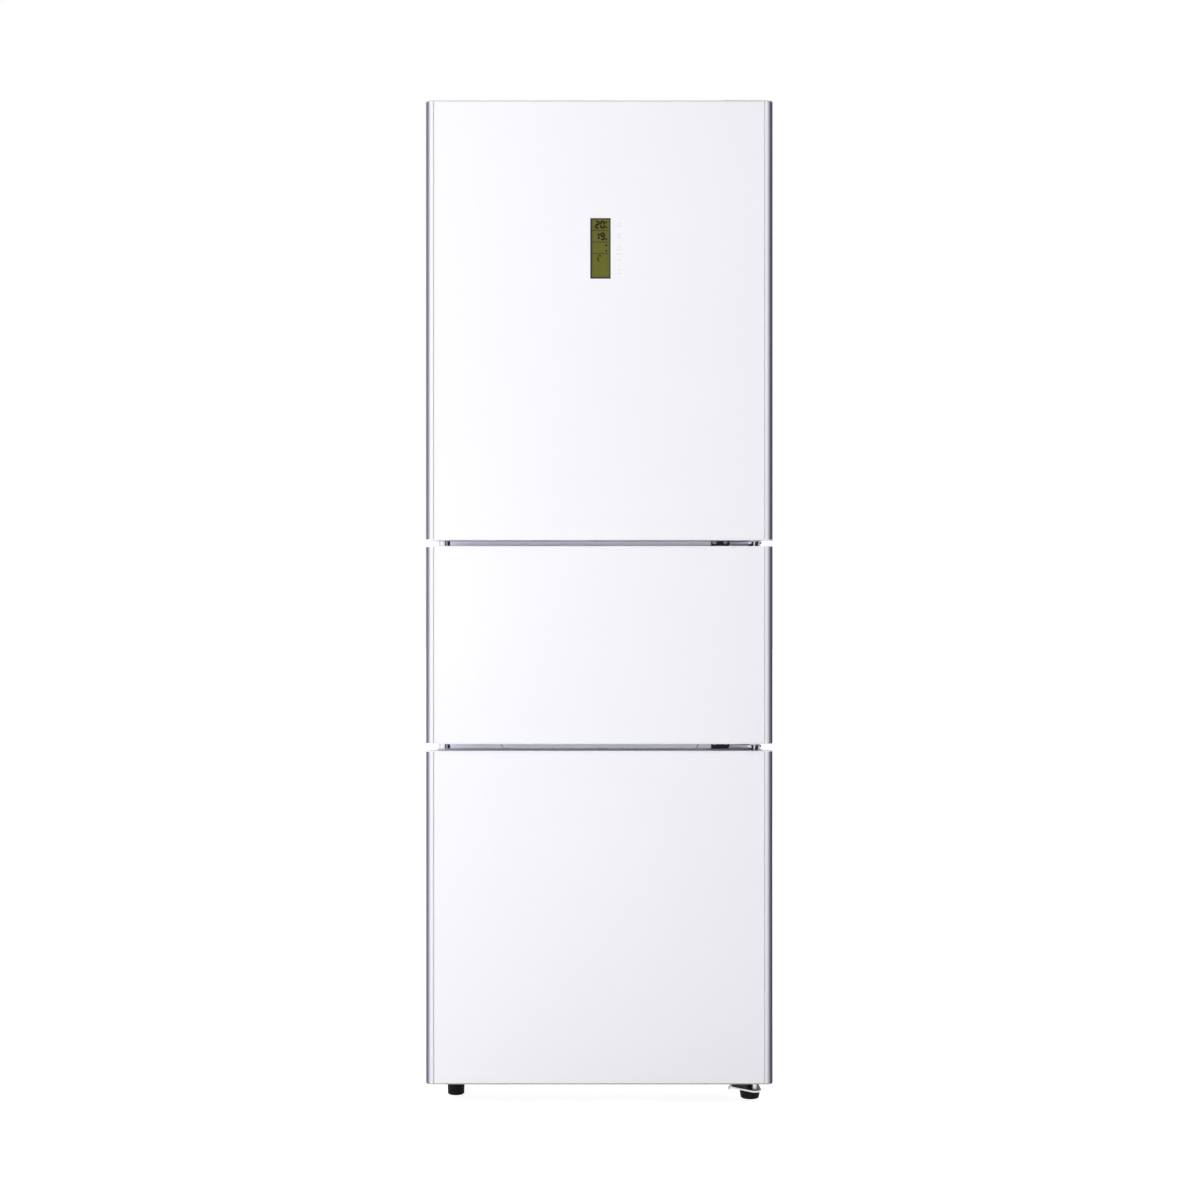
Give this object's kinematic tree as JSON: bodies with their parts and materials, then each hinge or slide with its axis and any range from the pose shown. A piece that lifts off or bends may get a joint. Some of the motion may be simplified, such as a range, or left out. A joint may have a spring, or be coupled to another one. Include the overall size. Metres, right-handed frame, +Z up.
{
  "type": "fridge freezer",
  "caption": "Tall freestanding fridge freezer with flat white doors, side grips, a small display, glass shelves, door bins, drawers, middle hinges and a compressor.",
  "frame": {"origin": "centre of the object's footprint on the floor", "axes": "+Z up, -Y towards the front of the doors, +X to the right seen from the front"},
  "size_m": [0.604, 0.64, 1.7575],
  "materials": {
    "cabinet_steel": "satin",
    "cabinet_plastic": "satin",
    "zinc_steel": "satin",
    "foam": "matte",
    "liner_white": "satin",
    "grey_steel": "satin",
    "hinge_zinc": "satin",
    "shelf_glass": "polished",
    "lamp_cover": "matte",
    "coil_enamel": "satin",
    "black_steel": "satin",
    "rubber_black": "matte",
    "dark_plastic": "matte",
    "copper": "satin",
    "door_white": "gloss",
    "trim_silver": "satin",
    "cap_plastic": "satin",
    "gasket_grey": "matte",
    "display_glass": "gloss",
    "clear_plastic": "gloss"
  },
  "bodies": {
    "cabinet": {"side_panel_left": "cabinet_steel", "side_panel_right": "cabinet_steel", "top_cover": "cabinet_plastic", "back_panel": "zinc_steel", "base_plate": "zinc_steel", "insulation_foam": "foam", "fridge_liner": "liner_white", "middle_liner": "liner_white", "freezer_liner": "liner_white", "divider_covers": "grey_steel", "top_hinge": "hinge_zinc", "top_hinge_cover": "cabinet_plastic", "upper_middle_hinge": "hinge_zinc", "lower_middle_hinge": "hinge_zinc", "bottom_hinge": "hinge_zinc", "shelf_upper": "shelf_glass", "shelf_middle": "shelf_glass", "crisper_cover": "shelf_glass", "shelf_trims": "liner_white", "interior_light": "lamp_cover", "evaporator": "coil_enamel", "compressor": "black_steel", "compressor_mounts": "rubber_black", "start_relay": "dark_plastic", "control_box": "dark_plastic", "drip_tray": "dark_plastic", "refrigerant_pipes": "copper", "compressor_plate": "zinc_steel"},
    "fridge_door": {"fridge_door_panel": "door_white", "fridge_door_trims": "trim_silver", "fridge_door_caps": "cap_plastic", "fridge_door_foam": "foam", "fridge_door_liner": "liner_white", "fridge_door_gasket": "gasket_grey", "display_unit": "display_glass", "bin_upper": "clear_plastic", "bin_middle": "clear_plastic", "bin_lower": "clear_plastic"},
    "middle_door": {"middle_door_panel": "door_white", "middle_door_trims": "trim_silver", "middle_door_caps": "cap_plastic", "middle_door_foam": "foam", "middle_door_liner": "liner_white", "middle_door_gasket": "gasket_grey"},
    "freezer_door": {"freezer_door_panel": "door_white", "freezer_door_trims": "trim_silver", "freezer_door_caps": "cap_plastic", "freezer_door_foam": "foam", "freezer_door_liner": "liner_white", "freezer_door_gasket": "gasket_grey"},
    "lid_of_bin": {"bin_lid": "clear_plastic"},
    "crisper_drawer_body": {"crisper_drawer": "clear_plastic"},
    "middle_drawer_body": {"middle_drawer": "clear_plastic"},
    "freezer_drawer_upper_body": {"freezer_drawer_upper": "clear_plastic"},
    "freezer_drawer_middle_body": {"freezer_drawer_middle": "clear_plastic"},
    "freezer_drawer_lower_body": {"freezer_drawer_lower": "clear_plastic"},
    "roller_left_body": {"roller_left": "dark_plastic"},
    "roller_right_body": {"roller_right": "dark_plastic"},
    "foot_left_body": {"foot_left": "dark_plastic"},
    "foot_right_body": {"foot_right": "dark_plastic"}
  },
  "joints": [
    {"name": "fridge_door_swing", "type": "hinge", "parent": "cabinet", "child": "fridge_door", "pos_m": [0.272, -0.29, 1.365], "axis": [0, 0, 1], "range_deg": [0, 125]},
    {"name": "middle_door_swing", "type": "hinge", "parent": "cabinet", "child": "middle_door", "pos_m": [0.272, -0.29, 0.801], "axis": [0, 0, 1], "range_deg": [0, 125]},
    {"name": "freezer_door_swing", "type": "hinge", "parent": "cabinet", "child": "freezer_door", "pos_m": [0.272, -0.29, 0.3275], "axis": [0, 0, 1], "range_deg": [0, 125]},
    {"name": "bin_lid_swing", "type": "hinge", "parent": "fridge_door", "child": "lid_of_bin", "pos_m": [0, -0.2547, 1.5513], "axis": [1, 0, 0], "range_deg": [0, 85]},
    {"name": "crisper_drawer_slide", "type": "slide", "parent": "cabinet", "child": "crisper_drawer_body", "axis": [0, -1, 0], "range_m": [0, 0.02]},
    {"name": "middle_drawer_slide", "type": "slide", "parent": "cabinet", "child": "middle_drawer_body", "axis": [0, -1, 0], "range_m": [0, 0.02]},
    {"name": "freezer_drawer_upper_slide", "type": "slide", "parent": "cabinet", "child": "freezer_drawer_upper_body", "axis": [0, -1, 0], "range_m": [0, 0.02]},
    {"name": "freezer_drawer_middle_slide", "type": "slide", "parent": "cabinet", "child": "freezer_drawer_middle_body", "axis": [0, -1, 0], "range_m": [0, 0.02]},
    {"name": "freezer_drawer_lower_slide", "type": "slide", "parent": "cabinet", "child": "freezer_drawer_lower_body", "axis": [0, -1, 0], "range_m": [0, 0.02]},
    {"name": "roller_left_spin", "type": "hinge", "parent": "cabinet", "child": "roller_left_body", "pos_m": [-0.251, 0.282, 0.018], "axis": [1, 0, 0], "continuous": true},
    {"name": "roller_right_spin", "type": "hinge", "parent": "cabinet", "child": "roller_right_body", "pos_m": [0.251, 0.282, 0.018], "axis": [1, 0, 0], "continuous": true},
    {"name": "foot_left_turn", "type": "hinge", "parent": "cabinet", "child": "foot_left_body", "pos_m": [-0.2552, -0.234, 0.02], "axis": [0, 0, 1], "continuous": true},
    {"name": "foot_right_turn", "type": "hinge", "parent": "cabinet", "child": "foot_right_body", "pos_m": [0.266, -0.26, 0.02], "axis": [0, 0, 1], "continuous": true}
  ]
}
